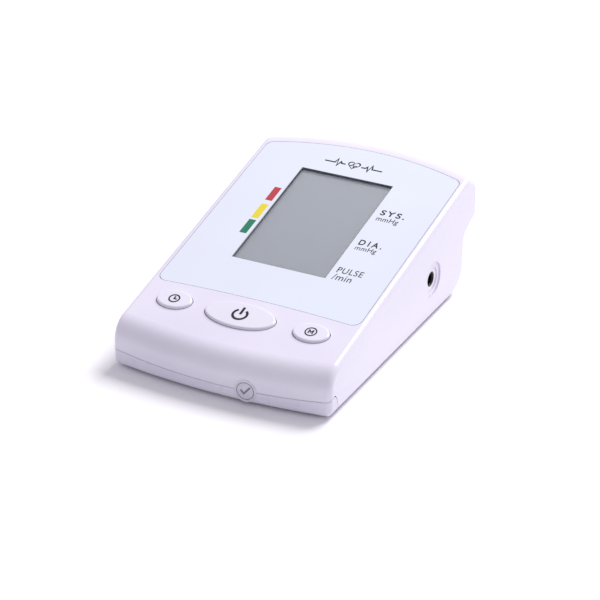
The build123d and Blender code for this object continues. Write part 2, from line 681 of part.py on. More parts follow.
with BuildPart() as air_socket:
    with BuildSketch(AIR_AXIS.offset(-0.1)):
        Circle(AIR_BORE_RADIUS + 1.3)
    extrude(amount=-13.4)
    with BuildSketch(AIR_AXIS.offset(-WALL)):
        Circle(AIR_BORE_RADIUS + 2.9)
    extrude(amount=-1.5)
    with BuildSketch(Plane.XZ.offset(-SOCKET_BARB_Y)):
        with Locations((SOCKET_BARB_X, SOCKET_Z)):
            Circle(BARB_RADIUS)
    extrude(amount=BARB_LENGTH, both=True)
    with BuildSketch(AIR_AXIS):
        Circle(AIR_BORE_RADIUS)
    extrude(amount=-AIR_BORE_LENGTH - 0.1, mode=Mode.SUBTRACT)
    with BuildSketch(Plane.XZ.offset(-SOCKET_Y)):
        with Locations((SOCKET_BARB_X, SOCKET_Z)):
            Circle(PASSAGE_RADIUS)
    extrude(amount=10, mode=Mode.SUBTRACT)
    with BuildSketch(AIR_AXIS):
        Circle(PASSAGE_RADIUS)
    extrude(amount=-(HALF_WIDTH + SOCKET_BARB_X), mode=Mode.SUBTRACT)
write(air_socket, "air_socket")

with BuildPart() as air_manifold:
    with Locations((LANES_MIDDLE_X, MANIFOLD_MIDDLE_Y, MANIFOLD_Z)):
        Box(9.6, MANIFOLD_REAR_Y - MANIFOLD_FRONT_Y, 5.2)
    with BuildSketch(Plane.XZ.offset(-MANIFOLD_REAR_Y - BARB_LENGTH)):
        with Locations((INNER_LANE_X, MANIFOLD_Z), (OUTER_LANE_X, MANIFOLD_Z)):
            Circle(BARB_RADIUS)
    extrude(amount=MANIFOLD_REAR_Y - MANIFOLD_FRONT_Y + 2 * BARB_LENGTH)
    with BuildSketch(Plane.XZ.offset(-MANIFOLD_REAR_Y - BARB_LENGTH)):
        with Locations((INNER_LANE_X, MANIFOLD_Z), (OUTER_LANE_X, MANIFOLD_Z)):
            Circle(PASSAGE_RADIUS)
    extrude(amount=MANIFOLD_REAR_Y - MANIFOLD_FRONT_Y + 2 * BARB_LENGTH, mode=Mode.SUBTRACT)
write(air_manifold, "air_manifold")


def air_tube(name, route, bend):
    """A silicone tube pushed over the barbs at both ends of its route."""
    with BuildPart() as tube:
        with BuildLine() as path:
            FilletPolyline(*route, radius=bend)
        with BuildSketch(Plane(origin=path.line @ 0, z_dir=path.line % 0)):
            Circle(TUBE_RADIUS)
            Circle(BARB_RADIUS + 0.05, mode=Mode.SUBTRACT)
        sweep()
    write(tube, name)


air_tube(
    "socket_tube",
    [
        (SOCKET_BARB_X, SOCKET_Y - 5.6, SOCKET_Z),
        (SOCKET_BARB_X, 9.5, SOCKET_Z),
        (INNER_LANE_X, 3.0, MANIFOLD_Z),
        (INNER_LANE_X, MANIFOLD_REAR_Y + 0.2, MANIFOLD_Z),
    ],
    3.5,
)
air_tube(
    "pump_tube",
    [
        (PUMP_LEFT_X - 0.3, PUMP_Y, NOZZLE_Z),
        (SOCKET_BARB_X, PUMP_Y, NOZZLE_Z),
        (SOCKET_BARB_X, 32.0, 8.5),
        (-38.5, 14.0, 7.6),
        (OUTER_LANE_X, 5.0, MANIFOLD_Z),
        (OUTER_LANE_X, MANIFOLD_REAR_Y + 0.2, MANIFOLD_Z),
    ],
    3.0,
)
air_tube(
    "valve_tube",
    [
        (-30.3, VALVE_Y, VALVE_Z),
        (INNER_LANE_X, VALVE_Y, VALVE_Z),
        (INNER_LANE_X, MANIFOLD_FRONT_Y - 6, MANIFOLD_Z),
        (INNER_LANE_X, MANIFOLD_FRONT_Y - 0.2, MANIFOLD_Z),
    ],
    3.0,
)
air_tube(
    "sensor_tube",
    [
        (sensor_port.X - 0.2, sensor_port.Y, sensor_port.Z),
        (-33.0, sensor_port.Y, sensor_port.Z),
        (OUTER_LANE_X, -38.0, MANIFOLD_Z),
        (OUTER_LANE_X, MANIFOLD_FRONT_Y - 0.2, MANIFOLD_Z),
    ],
    5.0,
)


# ---------------------------------------------------------------- exhaust valve
VALVE_LEFT_X = -30.0
VALVE_RIGHT_X = -8.0

with BuildPart() as exhaust_valve:
    with BuildSketch(Plane.YZ.offset(VALVE_LEFT_X)):
        with Locations((VALVE_Y, VALVE_Z)):
            Circle(VALVE_RADIUS)
    extrude(amount=VALVE_RIGHT_X - VALVE_LEFT_X)
    with BuildSketch(Plane.YZ.offset(VALVE_LEFT_X - BARB_LENGTH)):
        with Locations((VALVE_Y, VALVE_Z)):
            Circle(BARB_RADIUS)
    extrude(amount=BARB_LENGTH + 1)
    with BuildSketch(Plane.YZ.offset(VALVE_RIGHT_X - 2)):
        with Locations((VALVE_Y, VALVE_Z)):
            Circle(2.3)
    extrude(amount=-13, mode=Mode.SUBTRACT)
write(exhaust_valve, "exhaust_valve")

with BuildPart() as valve_plunger:
    with BuildSketch(Plane.YZ.offset(VALVE_RIGHT_X - 14.5)):
        with Locations((VALVE_Y, VALVE_Z)):
            Circle(2.2)
    extrude(amount=10)
write(valve_plunger, "valve_plunger")


# ---------------------------------------------------------------- pump and its motor
MOTOR_LEFT_X = -6.0
MOTOR_RIGHT_X = 22.0
MOTOR_RADIUS = 10.0
SHAFT_RADIUS = 1.0
SHAFT_CLEARANCE = 0.05
pump_centre = (PUMP_Y, PUMP_Z)

with BuildPart() as motor_can:
    with BuildSketch(Plane.YZ.offset(MOTOR_LEFT_X)):
        with Locations(pump_centre):
            Circle(MOTOR_RADIUS)
    extrude(amount=MOTOR_RIGHT_X - MOTOR_LEFT_X)
    with BuildSketch(Plane.YZ.offset(MOTOR_LEFT_X + 1.5)):
        with Locations(pump_centre):
            Circle(MOTOR_RADIUS - 0.9)
    extrude(amount=TALL, mode=Mode.SUBTRACT)
    with BuildSketch(Plane.YZ.offset(MOTOR_LEFT_X)):
        with Locations(pump_centre):
            Circle(SHAFT_RADIUS + SHAFT_CLEARANCE)
    extrude(amount=2, mode=Mode.SUBTRACT)
write(motor_can, "motor_can")

with BuildPart() as motor_magnets:
    with BuildSketch(Plane.YZ.offset(MOTOR_LEFT_X + 3)):
        with Locations(pump_centre):
            Circle(MOTOR_RADIUS - 0.95)
            Circle(7.4, mode=Mode.SUBTRACT)
            Rectangle(2.4, 30, mode=Mode.SUBTRACT)
    extrude(amount=20)
write(motor_magnets, "motor_magnets")

with BuildPart() as motor_end_cap:
    with BuildSketch(Plane.YZ.offset(MOTOR_RIGHT_X)):
        with Locations(pump_centre):
            Circle(MOTOR_RADIUS)
    extrude(amount=3.5)
    with BuildSketch(Plane.YZ.offset(MOTOR_RIGHT_X)):
        with Locations(pump_centre):
            Circle(SHAFT_RADIUS + SHAFT_CLEARANCE)
    extrude(amount=3.0, mode=Mode.SUBTRACT)
write(motor_end_cap, "motor_end_cap")

with BuildPart() as motor_rotor:
    with BuildSketch(Plane.YZ.offset(MOTOR_LEFT_X - 5)):
        with Locations(pump_centre):
            Circle(SHAFT_RADIUS)
    extrude(amount=32.8)
    with BuildSketch(Plane.YZ.offset(MOTOR_LEFT_X + 5)):
        with Locations(pump_centre):
            Circle(6.8)
            with PolarLocations(7.2, 3, start_angle=90):
                Circle(1.3, mode=Mode.SUBTRACT)
    extrude(amount=16)
    with BuildSketch(Plane.YZ.offset(MOTOR_LEFT_X - 5)):
        with Locations(pump_centre):
            Circle(3.4)
        with Locations((PUMP_Y, PUMP_Z + 2.2)):
            Circle(3.0)
    extrude(amount=2.6)
write(motor_rotor, "motor_rotor")

with BuildPart() as pump_head:
    with BuildSketch(Plane.YZ.offset(-23.5)):
        with Locations(pump_centre):
            Circle(PUMP_RADIUS)
    extrude(amount=MOTOR_LEFT_X + 23.5)
    with BuildSketch(Plane.YZ.offset(MOTOR_LEFT_X)):
        with Locations(pump_centre):
            Circle(8.4)
    extrude(amount=-8, mode=Mode.SUBTRACT)
    with BuildSketch(Plane.YZ.offset(-23.5)):
        with Locations(pump_centre):
            with PolarLocations(5.6, 3):
                Circle(3.3)
    extrude(amount=6, mode=Mode.SUBTRACT)
write(pump_head, "pump_head")

with BuildPart() as pump_diaphragm:
    with BuildSketch(Plane.YZ.offset(-25.0)):
        with Locations(pump_centre):
            Circle(PUMP_RADIUS - 0.4)
    extrude(amount=1.5)
    with BuildSketch(Plane.YZ.offset(-23.5)):
        with Locations(pump_centre):
            with PolarLocations(5.6, 3):
                Circle(2.9)
    extrude(amount=4)
write(pump_diaphragm, "pump_diaphragm")

with BuildPart() as pump_cover:
    with BuildSketch(Plane.YZ.offset(PUMP_LEFT_X)):
        with Locations(pump_centre):
            Circle(PUMP_RADIUS)
    extrude(amount=4.0)
    with BuildSketch(Plane.YZ.offset(PUMP_LEFT_X + 1)):
        with Locations((PUMP_Y, NOZZLE_Z)):
            Circle(BARB_RADIUS)
    extrude(amount=-1 - BARB_LENGTH)
    with BuildSketch(Plane.YZ.offset(PUMP_LEFT_X - BARB_LENGTH)):
        with Locations((PUMP_Y, NOZZLE_Z)):
            Circle(PASSAGE_RADIUS)
    extrude(amount=BARB_LENGTH + 4, mode=Mode.SUBTRACT)
write(pump_cover, "pump_cover")

with BuildPart() as pump_cradles:
    with Locations((-15, PUMP_Y - 2.5, PUMP_SHELF_Z), (12, PUMP_Y - 2.5, PUMP_SHELF_Z)):
        Box(7, 11, 6.5, align=(Align.CENTER, Align.CENTER, Align.MIN))
    with BuildSketch(Plane.YZ.offset(-24)):
        with Locations(pump_centre):
            Circle(PUMP_RADIUS)
    extrude(amount=18, mode=Mode.SUBTRACT)
    with BuildSketch(Plane.YZ.offset(0)):
        with Locations(pump_centre):
            Circle(MOTOR_RADIUS)
    extrude(amount=20, mode=Mode.SUBTRACT)
write(pump_cradles, "pump_cradles")


# ---------------------------------------------------------------- power inlet
JACK_FACE_X = HALF_WIDTH - 3.2
JACK_LENGTH = 11.0
JACK_BORE_DEPTH = 9.5

with BuildPart() as power_jack:
    with Locations((JACK_FACE_X - JACK_LENGTH / 2, SOCKET_Y, SOCKET_Z)):
        Box(JACK_LENGTH, 9.0, 9.6)
    with BuildSketch(Plane.YZ.offset(JACK_FACE_X)):
        with Locations((SOCKET_Y, SOCKET_Z)):
            Circle(POWER_HOLE_RADIUS - 0.15)
    extrude(amount=-JACK_BORE_DEPTH, mode=Mode.SUBTRACT)
write(power_jack, "power_jack")

with BuildPart() as power_jack_pin:
    with BuildSketch(Plane.YZ.offset(JACK_FACE_X - JACK_BORE_DEPTH)):
        with Locations((SOCKET_Y, SOCKET_Z)):
            Circle(POWER_PIN_RADIUS)
    extrude(amount=9.0)
write(power_jack_pin, "power_jack_pin")


# ---------------------------------------------------------------- batteries and contacts
CONTACT_THICKNESS = 0.4
CELL_LENGTH = CELL_BODY_LENGTH + CELL_NUB_LENGTH
SPRING_WIRE = 0.35
cell_rows = [((i - (CELL_COUNT - 1) / 2) * CELL_PITCH, i % 2 == 0) for i in range(CELL_COUNT)]
front_contact_y = BAY_FRONT_Y + CONTACT_THICKNESS
rear_contact_y = BAY_REAR_Y - CONTACT_THICKNESS

with BuildPart() as aa_batteries:
    for cell_x, nub_to_rear in cell_rows:
        nub_y = rear_contact_y if nub_to_rear else front_contact_y
        inward = 1 if nub_to_rear else -1
        with BuildSketch(Plane.XZ.offset(-nub_y)):
            with Locations((cell_x, CELL_Z)):
                Circle(2.7)
        extrude(amount=inward * CELL_NUB_LENGTH)
        with BuildSketch(Plane.XZ.offset(-nub_y + inward * CELL_NUB_LENGTH)):
            with Locations((cell_x, CELL_Z)):
                Circle(CELL_DIAMETER / 2)
        extrude(amount=inward * CELL_BODY_LENGTH)
write(aa_batteries, "aa_batteries")

with BuildPart() as battery_contacts:
    for contact_y, side in ((BAY_FRONT_Y, -1), (BAY_REAR_Y, 1)):
        with BuildSketch(Plane.XZ.offset(-contact_y)):
            with Locations(*[(cell_x, CELL_Z) for cell_x, nub_to_rear in cell_rows]):
                RectangleRounded(9.5, 9.5, 1.0)
        extrude(amount=side * CONTACT_THICKNESS)
write(battery_contacts, "battery_contacts")

with BuildPart() as battery_springs:
    for cell_x, nub_to_rear in cell_rows:
        gap = rear_contact_y - front_contact_y - CELL_LENGTH
        start_y = front_contact_y if nub_to_rear else rear_contact_y
        heading = 1 if nub_to_rear else -1
        coil_height = gap - 2 * SPRING_WIRE - 0.04
        with BuildLine() as coil:
            Helix(
                pitch=coil_height / 4,
                height=coil_height,
                radius=3.4,
                center=(cell_x, start_y + heading * (SPRING_WIRE + 0.02), CELL_Z),
                direction=(0, heading, 0),
            )
        with BuildSketch(Plane(origin=coil.line @ 0, z_dir=coil.line % 0)):
            Circle(SPRING_WIRE)
        sweep(path=coil.line, is_frenet=True)
write(battery_springs, "battery_springs")


# ---------------------------------------------------------------- screws, feet, labels
def screw_set(name, spots, seat, head, shank):
    """Pan-head screws driven along the seat plane's normal; head and shank are (radius, length)."""
    with BuildPart() as screws:
        with BuildSketch(seat):
            with Locations(*spots):
                Circle(head[0])
        extrude(amount=-head[1])
        with BuildSketch(seat):
            with Locations(*spots):
                Circle(shank[0])
        extrude(amount=shank[1])
        with BuildSketch(seat.offset(-head[1])):
            with Locations(*spots):
                Rectangle(head[0] * 1.1, 0.5)
                Rectangle(0.5, head[0] * 1.1)
        extrude(amount=head[1] * 0.45, mode=Mode.SUBTRACT)
    write(screws, name)


screw_set("case_screws", CASE_SCREWS, Plane.XY.offset(GROUND_GAP + 2.2), (2.5, 1.7), (1.25, 12.0))
screw_set("board_screws", BOARD_SCREWS, face_at(BOARD_BOTTOM), (1.9, 1.3), (0.95, 6.0))
holder_screw_depth = GLASS_DEPTH + GLASS_THICKNESS + 1.6
screw_set("holder_screws", HOLDER_SCREWS, face_at(holder_screw_depth), (1.9, 1.3), (0.95, 3.8))

with BuildPart() as rubber_feet:
    with BuildSketch():
        with Locations(*FEET):
            Circle(4.4)
    extrude(amount=GROUND_GAP + 0.6)
    chamfer(rubber_feet.faces().filter_by(Axis.Z).sort_by(Axis.Z)[:4].edges(), length=0.4)
write(rubber_feet, "rubber_feet")

with BuildPart() as rating_label:
    with BuildSketch(Plane.XY.offset(GROUND_GAP)):
        with Locations((-10, -44)):
            RectangleRounded(44, 22, 1.5)
    extrude(amount=-0.12)
write(rating_label, "rating_label")

with BuildPart() as inspection_sticker:
    with BuildSketch():
        add(plan_outline(-0.15))
        add(plan_outline(), mode=Mode.SUBTRACT)
    extrude(amount=20)
    with BuildSketch(Plane.XZ.offset(-FRONT_Y - 8)):
        with Locations((13.3, SEAM_HEIGHT)):
            Circle(4.7)
    extrude(amount=12, mode=Mode.INTERSECT)
write(inspection_sticker, "inspection_sticker")


# ---------------------------------------------------------------- wiring
def wire_pair(name, route, bend):
    """Two insulated wires side by side along one route."""
    with BuildPart() as wires:
        for shift in (-0.48, 0.48):
            shifted = [(x + shift, y + shift, z + shift) for x, y, z in route]
            with BuildLine() as path:
                FilletPolyline(*shifted, radius=bend)
            with BuildSketch(Plane(origin=path.line @ 0, z_dir=path.line % 0)):
                Circle(0.6)
            sweep(path=path.line)
    write(wires, name)


def board_z(y):
    """Height of the underside of the board at this y."""
    face_z = FACE_DATUM_HEIGHT + (y - FACE_DATUM_Y) * tan(radians(SLOPE))
    return face_z - BOARD_BOTTOM / cos(radians(SLOPE))


wire_pair(
    "battery_leads",
    [(20, BAY_FRONT_Y - BAY_WALL - 0.5, 12), (20, -31, 12), (20, -31, board_z(-31) - 1.0)],
    2.0,
)
wire_pair(
    "motor_leads",
    [
        (26.1, PUMP_Y, 20),
        (35.2, PUMP_Y, 20),
        (35.2, 30, 9),
        (35.2, 0, 9),
        (34.2, -22, 13),
        (34.2, -22, board_z(-22) - 1.0),
    ],
    2.0,
)
wire_pair(
    "valve_leads",
    [(VALVE_RIGHT_X + 0.55, VALVE_Y, 9.6), (-3, VALVE_Y, 9.6), (-3, VALVE_Y, board_z(VALVE_Y) - 1.0)],
    2.0,
)
wire_pair(
    "jack_leads",
    [(38.5, SOCKET_Y - 5.1, 18), (38.5, 4, 18), (33.9, -17, 18), (33.9, -17, board_z(-17) - 1.0)],
    1.5,
)
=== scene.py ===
"""The looks of a desktop blood pressure monitor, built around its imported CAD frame."""

import json
from math import cos, pi, radians, sin

import bmesh
import bpy
from mathutils import Matrix, Vector
from mathutils.bvhtree import BVHTree


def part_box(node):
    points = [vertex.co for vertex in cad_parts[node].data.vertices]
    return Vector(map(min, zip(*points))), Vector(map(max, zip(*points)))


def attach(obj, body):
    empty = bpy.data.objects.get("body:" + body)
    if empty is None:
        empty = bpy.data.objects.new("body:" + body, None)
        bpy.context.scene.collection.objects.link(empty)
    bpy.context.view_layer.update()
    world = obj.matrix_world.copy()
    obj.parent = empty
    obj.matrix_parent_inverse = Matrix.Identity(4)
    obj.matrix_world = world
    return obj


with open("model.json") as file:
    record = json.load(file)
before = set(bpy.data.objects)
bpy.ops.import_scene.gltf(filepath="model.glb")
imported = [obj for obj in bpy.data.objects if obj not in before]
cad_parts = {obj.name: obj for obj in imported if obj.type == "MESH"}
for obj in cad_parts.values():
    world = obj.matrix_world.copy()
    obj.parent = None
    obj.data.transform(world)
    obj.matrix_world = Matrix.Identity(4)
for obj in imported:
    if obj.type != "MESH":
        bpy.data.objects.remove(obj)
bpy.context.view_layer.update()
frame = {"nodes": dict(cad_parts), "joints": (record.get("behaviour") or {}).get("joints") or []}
nodes = frame["nodes"]
scene = bpy.context.scene
MM = 0.001

# ---------------------------------------------------------------- the sloping panel's own axes
press = next(j for j in frame["joints"] if j["name"] == "start_stop_key_press")
ACROSS = Vector((1, 0, 0))
OUTWARD = -Vector(press["axis"]).normalized()
UPSLOPE = OUTWARD.cross(ACROSS)


def along(node, axis):
    """How far a CAD node's vertices lie along a direction, as a list."""
    return [axis.dot(v.co) for v in nodes[node].data.vertices]


def panel_frame(node, height):
    """The panel's axes, with the origin over the middle of a node, this high along them."""
    middle = [(min(reach) + max(reach)) / 2 for reach in (along(node, ACROSS), along(node, UPSLOPE))]
    origin = ACROSS * middle[0] + UPSLOPE * middle[1] + OUTWARD * height
    return Matrix.Translation(origin) @ Matrix((ACROSS, UPSLOPE, OUTWARD)).transposed().to_4x4()


PANEL_TOP = max(along("faceplate", OUTWARD))
WINDOW = panel_frame("display_bezel", PANEL_TOP)


# ---------------------------------------------------------------- shader building blocks
def tone(code):
    """A linear colour from an sRGB code such as #E9E5F2."""
    channels = [int(code[i : i + 2], 16) / 255 for i in (1, 3, 5)]
    return tuple(c / 12.92 if c <= 0.04045 else ((c + 0.055) / 1.055) ** 2.4 for c in channels)


class Look:
    """A material with one Principled shader, and short names for the nodes that feed it."""

    def __init__(self, name, **values):
        self.material = bpy.data.materials.new(name)
        self.material.use_nodes = True
        self.tree = self.material.node_tree
        self.shader = self.tree.nodes["Principled BSDF"]
        self.output = self.tree.nodes["Material Output"]
        self.place = self.tree.nodes.new("ShaderNodeTexCoord").outputs["Object"]
        for socket, value in values.items():
            self.shader.inputs[socket.replace("_", " ")].default_value = value

    def node(self, kind, settings=None, **inputs):
        made = self.tree.nodes.new(kind)
        for key, value in (settings or {}).items():
            setattr(made, key, value)
        for key, value in inputs.items():
            socket = made.inputs[key.replace("_", " ")]
            if isinstance(value, bpy.types.NodeSocket):
                self.tree.links.new(value, socket)
            else:
                socket.default_value = value
        return made

    def stretched(self, x, y, z):
        return self.node("ShaderNodeMapping", Vector=self.place, Scale=(x, y, z)).outputs["Vector"]

    def noise(self, scale, detail=2.0, vector=None):
        made = self.node("ShaderNodeTexNoise", Vector=vector or self.place, Scale=scale, Detail=detail)
        return made.outputs["Fac"]

    def cells(self, scale, distance="EUCLIDEAN"):
        made = self.node("ShaderNodeTexVoronoi", {"distance": distance}, Vector=self.place, Scale=scale)
        return made.outputs["Distance"]

    def between(self, value, low, high, new_low=0.0, new_high=1.0):
        made = self.node("ShaderNodeMapRange", Value=value)
        for socket, number in zip(made.inputs[1:5], (low, high, new_low, new_high)):
            socket.default_value = number
        return made.outputs["Result"]

    def axis(self, letter):
        return self.node("ShaderNodeSeparateXYZ", Vector=self.place).outputs[letter]

    def maths(self, operation, first, second=0.0):
        made = self.tree.nodes.new("ShaderNodeMath")
        made.operation = operation
        for socket, value in zip(made.inputs, (first, second)):
            if isinstance(value, bpy.types.NodeSocket):
                self.tree.links.new(value, socket)
            else:
                socket.default_value = value
        return made.outputs["Value"]

    def blend(self, share, first, second):
        """First colour where share is 0 and second where it is 1."""
        made = self.node("ShaderNodeMix", {"data_type": "RGBA"})
        self.tree.links.new(share, made.inputs[0])
        for socket, value in zip(made.inputs[6:8], (first, second)):
            if isinstance(value, bpy.types.NodeSocket):
                self.tree.links.new(value, socket)
            else:
                socket.default_value = (*value, 1)
        return made.outputs[2]

    def feed(self, socket, value):
        self.tree.links.new(value, self.shader.inputs[socket])

    def relief(self, *layers):
        """Bumps one over another, each a height and its depth in metres."""
        normal = None
        for height, depth in layers:
            made = self.node("ShaderNodeBump", Height=height, Strength=1.0, Distance=depth)
            if normal:
                self.tree.links.new(normal, made.inputs["Normal"])
            normal = made.outputs["Normal"]
        self.feed("Normal", normal)


# ---------------------------------------------------------------- materials
def moulded_plastic(name, code, shade_code, roughness, orange_peel=3e-6, grain=0.0, **values):
    """Moulded plastic: slow colour drift, a faint orange peel, and rubbed and cleaner patches."""
    look = Look(name, Roughness=roughness, **values)
    tone_blend = look.between(look.noise(28.0, 3.0), 0.35, 0.68)
    look.feed("Base Color", look.blend(tone_blend, tone(shade_code), tone(code)))
    rubbed = look.noise(95.0, 4.0)
    look.feed("Roughness", look.between(rubbed, 0.3, 0.7, roughness * 0.82, roughness * 1.18))
    layers = [(look.noise(420.0, 2.0), orange_peel)]
    if grain:
        layers.append((look.noise(5200.0, 1.0), grain))
    look.relief(*layers)
    return look.material


def printed_panel(name):
    """The panel's back-printed sheet: cool white under a gloss surface, with a fine speckle in the ink."""
    look = Look(name, Roughness=0.12, Coat_Weight=0.25, Coat_Roughness=0.04)
    speckle = look.between(look.noise(2600.0, 2.0), 0.3, 0.7)
    ink = look.blend(speckle, tone("#DDE3EF"), tone("#E2E8F3"))
    cloud = look.between(look.noise(16.0, 2.0), 0.35, 0.65)
    look.feed("Base Color", look.blend(cloud, tone("#DEE2EE"), ink))
    look.feed("Roughness", look.between(look.noise(140.0, 5.0), 0.3, 0.75, 0.09, 0.17))
    look.relief((look.noise(240.0, 2.0), 1.6e-6))
    return look.material


def clear_lens(name):
    """A clear window that lets lamps through and mirrors more at a glancing angle."""
    look = Look(name, Base_Color=(0.9, 0.93, 0.96, 1), Roughness=0.04)
    look.feed("Roughness", look.between(look.noise(160.0, 4.0), 0.35, 0.75, 0.025, 0.09))
    look.relief((look.noise(130.0, 1.0), 1.2e-6))
    clear = look.node("ShaderNodeBsdfTransparent", Color=(0.965, 0.975, 0.98, 1))
    gloss = look.node("ShaderNodeFresnel", IOR=1.46)
    mix = look.node("ShaderNodeMixShader")
    look.tree.links.new(gloss.outputs["Fac"], mix.inputs[0])
    look.tree.links.new(clear.outputs["BSDF"], mix.inputs[1])
    look.tree.links.new(look.shader.outputs["BSDF"], mix.inputs[2])
    look.tree.links.new(mix.outputs["Shader"], look.output.inputs["Surface"])
    return look.material


def liquid_crystal(name):
    """Grey reflective display glass: painted shade that darkens it towards its rear edge under the window's
    rear wall, the polariser's fine grain and a faint pixel wash.
    """
    look = Look(name, Roughness=0.38, Specular_IOR_Level=0.35)
    low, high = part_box("lcd_glass")
    # painted shade: the glass darkens from its front edge to its rear edge, where the window's rear wall
    # shades it
    painted_shade_share = look.between(look.axis("Y"), low.y, high.y)
    tone_blend = look.blend(painted_shade_share, tone("#8A9298"), tone("#7A8087"))
    grain = look.between(look.noise(3800.0, 2.0), 0.35, 0.65)
    look.feed("Base Color", look.blend(grain, tone_blend, tone("#858B93")))
    look.feed("Roughness", look.between(look.noise(300.0, 3.0), 0.3, 0.7, 0.32, 0.44))
    look.relief((look.noise(6000.0, 1.0), 1.5e-6))
    return look.material


def metal(name, code, dark_code, roughness, stretch=(1, 1, 1), **values):
    """Bright or dull metal, with drawing or rolling marks along the axis that isn't stretched."""
    look = Look(name, Metallic=1.0, Roughness=roughness, **values)
    marks = look.noise(900.0, 4.0, look.stretched(*stretch))
    look.feed("Base Color", look.blend(look.between(marks, 0.3, 0.7), tone(dark_code), tone(code)))
    look.feed("Roughness", look.between(marks, 0.25, 0.75, roughness * 0.7, roughness * 1.35))
    look.relief((marks, 4e-6))
    return look.material


def rubber(name, code, dusty_code, roughness=0.62):
    """Soft rubber or silicone with a fine tooth and a little dust in it."""
    look = Look(name, Roughness=roughness, Sheen_Weight=0.15, Sheen_Roughness=0.5)
    dust = look.between(look.noise(350.0, 5.0), 0.4, 0.8)
    look.feed("Base Color", look.blend(dust, tone(code), tone(dusty_code)))
    look.feed("Roughness", look.between(dust, 0.0, 1.0, roughness * 0.9, min(1.0, roughness * 1.2)))
    look.relief((look.noise(2400.0, 2.0), 1.2e-5))
    return look.material


def circuit_board(name):
    """Green solder mask over a maze of copper tracks, with bright pads."""
    look = Look(name, Roughness=0.3, Coat_Weight=0.4, Coat_Roughness=0.12)
    maze = look.cells(420.0, "CHEBYCHEV")
    track = look.between(look.maths("PINGPONG", maze, 0.16), 0.05, 0.08)
    pads = look.between(look.cells(260.0), 0.14, 0.12)
    mask = look.blend(track, tone("#0E5A33"), tone("#1C7A4A"))
    look.feed("Base Color", look.blend(pads, mask, tone("#C9B27A")))
    look.feed("Roughness", look.between(pads, 0.0, 1.0, 0.32, 0.2))
    look.relief((track, 2.5e-5), (pads, 3e-5))
    return look.material


def chip_body(name):
    """Black epoxy with the fine pitting of its mould."""
    look = Look(name, Roughness=0.55)
    pits = look.noise(7000.0, 2.0)
    look.feed("Base Color", look.blend(look.between(pits, 0.3, 0.75), tone("#131416"), tone("#27292C")))
    look.feed("Roughness", look.between(pits, 0.3, 0.7, 0.45, 0.68))
    look.relief((pits, 1.5e-5))
    return look.material


def cell_jackets(name):
    """Alkaline cells: a dark printed sleeve with a bright band, and steel at both ends."""
    look = Look(name, Roughness=0.32)
    low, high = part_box("aa_batteries")
    from_middle = look.maths("ABSOLUTE", look.maths("SUBTRACT", look.axis("Y"), (low.y + high.y) / 2))
    from_end = look.maths("SUBTRACT", (high.y - low.y) / 2, from_middle)
    steel = look.between(from_end, 1.9 * MM, 1.7 * MM)
    past_start = look.between(from_end, 9 * MM, 9.1 * MM)
    before_end = look.between(from_end, 14 * MM, 13.9 * MM)
    band = look.maths("MULTIPLY", past_start, before_end)
    mottle = look.between(look.noise(900.0, 3.0), 0.35, 0.65)
    print_layer = look.blend(mottle, tone("#22252B"), tone("#2D3139"))
    sleeve = look.blend(band, print_layer, tone("#C98A3A"))
    look.feed("Base Color", look.blend(steel, sleeve, tone("#B9BCC0")))
    look.feed("Metallic", steel)
    look.feed("Roughness", look.between(look.noise(700.0, 3.0), 0.3, 0.7, 0.24, 0.4))
    look.relief((look.noise(1500.0, 2.0), 4e-6))
    return look.material


def paired_wire(name, split_node):
    """Two insulated wires, red on one side and black on the other, with a waxy surface."""
    look = Look(name, Roughness=0.4)
    low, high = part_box(split_node)
    middle, fade = (low.x + high.x) / 2, 0.05 * MM
    side = look.between(look.axis("X"), middle - fade, middle + fade)
    wax = look.between(look.noise(1800.0, 3.0), 0.3, 0.7)
    red = look.blend(wax, tone("#9E1B1E"), tone("#B8282A"))
    black = look.blend(wax, tone("#131315"), tone("#222225"))
    look.feed("Base Color", look.blend(side, red, black))
    look.feed("Roughness", look.between(wax, 0.0, 1.0, 0.34, 0.5))
    look.relief((look.noise(1200.0, 2.0), 6e-6))
    return look.material


def foil(name, code, crinkle_code, roughness, metallic, depth=3e-6):
    """A thin stuck-on label: paper or metal foil with a slight crinkle."""
    look = Look(name, Metallic=metallic, Roughness=roughness)
    crinkle = look.noise(650.0, 4.0)
    look.feed("Base Color", look.blend(look.between(crinkle, 0.35, 0.7), tone(crinkle_code), tone(code)))
    look.feed("Roughness", look.between(crinkle, 0.3, 0.7, roughness * 0.8, roughness * 1.2))
    look.relief((crinkle, depth))
    return look.material


def ink(name, code, thin_code, roughness=0.35):
    """Screen-printed ink: dense colour with thinner spots and a slightly rough skin."""
    look = Look(name, Roughness=roughness)
    spots = look.between(look.noise(2200.0, 4.0), 0.42, 0.8)
    look.feed("Base Color", look.blend(spots, tone(code), tone(thin_code)))
    look.feed("Roughness", look.between(look.noise(900.0, 2.0), 0.3, 0.7, roughness * 0.8, roughness * 1.2))
    look.relief((look.noise(3000.0, 2.0), 2e-6))
    return look.material


case_white = moulded_plastic("case_white", "#E6E1F0", "#E1DCEC", 0.2)
base_white = moulded_plastic("base_white", "#E2DDEC", "#DCD7E8", 0.3, grain=4e-6)
key_white = moulded_plastic("key_white", "#E6E2F0", "#E2DEEC", 0.24, orange_peel=2e-6)
socket_white = moulded_plastic("socket_white", "#DDD9E4", "#D5D1DD", 0.32, grain=4e-6)
natural_plastic = moulded_plastic("natural_plastic", "#D9D6C8", "#CFCBBB", 0.42, grain=8e-6)
dark_plastic = moulded_plastic("dark_plastic", "#777C86", "#6A6F79", 0.5, grain=6e-6)
black_plastic = moulded_plastic("black_plastic", "#1B1B1E", "#121214", 0.42, grain=8e-6)
panel_print = printed_panel("panel_print")
lens_clear = clear_lens("clear_lens")
lcd_grey = liquid_crystal("lcd_grey")
silicone = rubber("silicone", "#B9C1C4", "#C6CDCF", 0.45)
black_rubber = rubber("black_rubber", "#17171A", "#2A2A2D")
grey_rubber = rubber("grey_rubber", "#8B8C92", "#A1A1A6")
